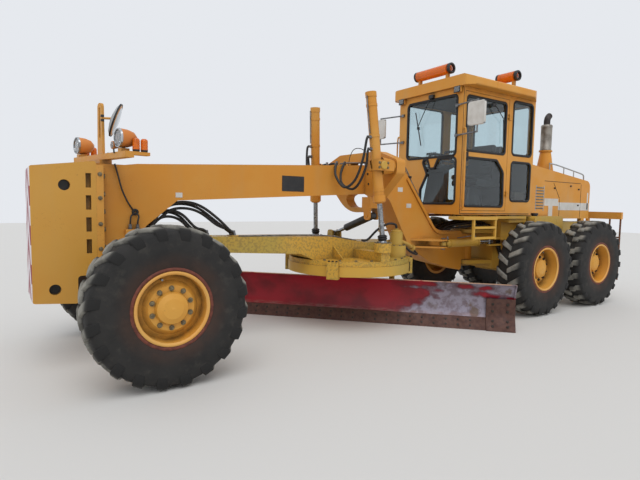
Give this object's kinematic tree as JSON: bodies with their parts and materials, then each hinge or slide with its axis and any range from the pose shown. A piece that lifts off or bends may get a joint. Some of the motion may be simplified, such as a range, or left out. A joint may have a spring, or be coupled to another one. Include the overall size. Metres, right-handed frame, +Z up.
{
  "type": "motor grader",
  "caption": "Articulated motor grader with a nose weight, box beam, drawbar, toothed circle, long curved blade, high cab, engine hood and tandem rear wheels.",
  "frame": {"origin": "on the ground under the middle of the machine's length and width", "axes": "+X forward, +Y to the machine's left, +Z up"},
  "size_m": [9.02, 3.1743, 3.5776],
  "materials": {
    "yellow_paint": "construction yellow paint, dusty, chipped at the edges",
    "old_yellow_paint": "older yellow paint with grit, rust specks and peeling",
    "black_paint": "satin black paint",
    "red_blade": "deep red paint worn to bare steel",
    "worn_steel": "bare worn steel",
    "rusty_steel": "brown rusty steel",
    "rod_steel": "ground cylinder rod",
    "tyre_rubber": "dusty black rubber",
    "tinted_glass": "grey green tinted glass",
    "seat_vinyl": "black vinyl",
    "amber_lens": "amber lamp lens",
    "lamp_metal": "orange painted lamp bowls"
  },
  "bodies": {
    "rear_frame": {"rear_frame": "yellow_paint", "tandem_left": "yellow_paint", "tandem_right": "yellow_paint", "engine": "black_paint", "hood": "yellow_paint", "exhaust": "worn_steel", "side_tanks": "yellow_paint", "rear_bumper": "rusty_steel", "rear_ladders": "rusty_steel", "cab_shell": "yellow_paint", "cab_roof": "yellow_paint", "cab_glass": "tinted_glass", "driver_chair": "seat_vinyl", "control_console": "black_paint", "cab_steps": "yellow_paint", "cab_mirrors": "black_paint", "beacons": "amber_lens"},
    "cab_door": {"cab_door": "yellow_paint", "door_glass": "tinted_glass"},
    "front_frame": {"front_frame": "yellow_paint", "nose_weight": "yellow_paint", "lift_saddle": "yellow_paint", "light_bar": "yellow_paint", "headlamps": "lamp_metal", "nose_mirror": "worn_steel", "front_axle": "yellow_paint", "lift_barrel_left": "yellow_paint", "lift_barrel_right": "yellow_paint"},
    "knuckle_left": {"knuckle_left": "old_yellow_paint"},
    "knuckle_right": {"knuckle_right": "old_yellow_paint"},
    "tie_rod": {"tie_rod": "worn_steel"},
    "drawbar": {"drawbar": "old_yellow_paint", "circle_drive": "yellow_paint"},
    "circle": {"circle": "old_yellow_paint"},
    "blade": {"moldboard": "red_blade", "cutting_edge": "rusty_steel"},
    "lift_rod_left": {"lift_rod_left": "rod_steel"},
    "lift_rod_right": {"lift_rod_right": "rod_steel"},
    "shift_barrel": {"shift_barrel": "black_paint"},
    "shift_rod": {"shift_rod": "rod_steel"},
    "hinge_barrel_left": {"hinge_barrel_left": "yellow_paint"},
    "hinge_barrel_right": {"hinge_barrel_right": "yellow_paint"},
    "hinge_rod_left": {"hinge_rod_left": "rod_steel"},
    "hinge_rod_right": {"hinge_rod_right": "rod_steel"},
    "wheel_front_left": {"rim_front_left": "yellow_paint", "tyre_front_left": "tyre_rubber"},
    "wheel_front_right": {"rim_front_right": "yellow_paint", "tyre_front_right": "tyre_rubber"},
    "wheel_mid_left": {"rim_mid_left": "yellow_paint", "tyre_mid_left": "tyre_rubber"},
    "wheel_mid_right": {"rim_mid_right": "yellow_paint", "tyre_mid_right": "tyre_rubber"},
    "wheel_rear_left": {"rim_rear_left": "yellow_paint", "tyre_rear_left": "tyre_rubber"},
    "wheel_rear_right": {"rim_rear_right": "yellow_paint", "tyre_rear_right": "tyre_rubber"}
  },
  "joints": [
    {"name": "frame_hinge", "type": "hinge", "parent": "rear_frame", "child": "front_frame", "pos_m": [-1.42, 0, 0.94], "axis": [0, 0, 1], "range_deg": [-20, 20]},
    {"name": "door_swing", "type": "hinge", "parent": "rear_frame", "child": "cab_door", "pos_m": [-1.59, 0.636, 2.3], "axis": [0, 0, 1], "range_deg": [0, 100]},
    {"name": "steer_left", "type": "hinge", "parent": "front_frame", "child": "knuckle_left", "pos_m": [3.56, 0.795, 0.685], "axis": [0, 0, 1], "range_deg": [-38, 38]},
    {"name": "steer_right", "type": "hinge", "parent": "front_frame", "child": "knuckle_right", "pos_m": [3.56, -0.795, 0.685], "axis": [0, 0, 1], "range_deg": [-38, 38]},
    {"name": "tie_rod_turn", "type": "hinge", "parent": "knuckle_left", "child": "tie_rod", "pos_m": [3.36, 0.795, 0.745], "axis": [0, 0, 1], "range_deg": [-38, 38]},
    {"name": "roll_front_left", "type": "hinge", "parent": "knuckle_left", "child": "wheel_front_left", "pos_m": [3.56, 1.03, 0.685], "axis": [0, 1, 0], "continuous": true},
    {"name": "roll_front_right", "type": "hinge", "parent": "knuckle_right", "child": "wheel_front_right", "pos_m": [3.56, -1.03, 0.685], "axis": [0, 1, 0], "continuous": true},
    {"name": "roll_mid_left", "type": "hinge", "parent": "rear_frame", "child": "wheel_mid_left", "pos_m": [-1.8, 1.03, 0.685], "axis": [0, 1, 0], "continuous": true},
    {"name": "roll_mid_right", "type": "hinge", "parent": "rear_frame", "child": "wheel_mid_right", "pos_m": [-1.8, -1.03, 0.685], "axis": [0, 1, 0], "continuous": true},
    {"name": "roll_rear_left", "type": "hinge", "parent": "rear_frame", "child": "wheel_rear_left", "pos_m": [-3.32, 1.03, 0.685], "axis": [0, 1, 0], "continuous": true},
    {"name": "roll_rear_right", "type": "hinge", "parent": "rear_frame", "child": "wheel_rear_right", "pos_m": [-3.32, -1.03, 0.685], "axis": [0, 1, 0], "continuous": true},
    {"name": "blade_lift", "type": "hinge", "parent": "front_frame", "child": "drawbar", "pos_m": [3.3, 0, 1.12], "axis": [0, 1, 0], "range_deg": [-4, 5]},
    {"name": "circle_turn", "type": "hinge", "parent": "drawbar", "child": "circle", "pos_m": [0.86, 0, 0.785], "axis": [0, 0, 1], "range_deg": [-96, 4]},
    {"name": "blade_shift", "type": "slide", "parent": "circle", "child": "blade", "axis": [-0.6947, 0.7193, 0], "range_m": [-0.45, 0.45]},
    {"name": "lift_rod_slide_left", "type": "slide", "parent": "front_frame", "child": "lift_rod_left", "axis": [0.0754, -0.0765, 0.9942], "range_m": [-0.19, 0.23]},
    {"name": "lift_rod_slide_right", "type": "slide", "parent": "front_frame", "child": "lift_rod_right", "axis": [0.0754, 0.0765, 0.9942], "range_m": [-0.19, 0.23]},
    {"name": "shift_barrel_swing", "type": "hinge", "parent": "front_frame", "child": "shift_barrel", "pos_m": [0.81, 0.4, 1.424], "axis": [1, 0, 0], "range_deg": [-15.17, 12.33]},
    {"name": "shift_rod_slide", "type": "slide", "parent": "shift_barrel", "child": "shift_rod", "axis": [0, -0.9496, -0.3134], "range_m": [-0.0639, 0.0522]},
    {"name": "hinge_barrel_swing_left", "type": "hinge", "parent": "front_frame", "child": "hinge_barrel_left", "pos_m": [-0.52, 0.4, 1.03], "axis": [0, 0, 1], "range_deg": [-3.02, 3.02]},
    {"name": "hinge_rod_slide_left", "type": "slide", "parent": "hinge_barrel_left", "child": "hinge_rod_left", "axis": [-1, 0, 0], "range_m": [-0.1428, 0.1428]},
    {"name": "hinge_barrel_swing_right", "type": "hinge", "parent": "front_frame", "child": "hinge_barrel_right", "pos_m": [-0.52, -0.4, 1.03], "axis": [0, 0, 1], "range_deg": [-3.02, 3.02]},
    {"name": "hinge_rod_slide_right", "type": "slide", "parent": "hinge_barrel_right", "child": "hinge_rod_right", "axis": [-1, 0, 0], "range_m": [-0.1428, 0.1428]}
  ],
  "couplings": [
    {"joint": "steer_right", "follows": "steer_left", "ratio": 1},
    {"joint": "tie_rod_turn", "follows": "steer_left", "ratio": -1},
    {"joint": "lift_rod_slide_left", "follows": "blade_lift", "m_per_rad": 2.3804},
    {"joint": "lift_rod_slide_right", "follows": "blade_lift", "m_per_rad": 2.3804},
    {"joint": "shift_barrel_swing", "follows": "blade_lift", "ratio": -2.8332},
    {"joint": "shift_rod_slide", "follows": "blade_lift", "m_per_rad": -0.67541},
    {"joint": "hinge_barrel_swing_left", "follows": "frame_hinge", "ratio": -0.12619},
    {"joint": "hinge_rod_slide_left", "follows": "frame_hinge", "m_per_rad": -0.39465},
    {"joint": "hinge_barrel_swing_right", "follows": "frame_hinge", "ratio": -0.12619},
    {"joint": "hinge_rod_slide_right", "follows": "frame_hinge", "m_per_rad": 0.39465}
  ]
}
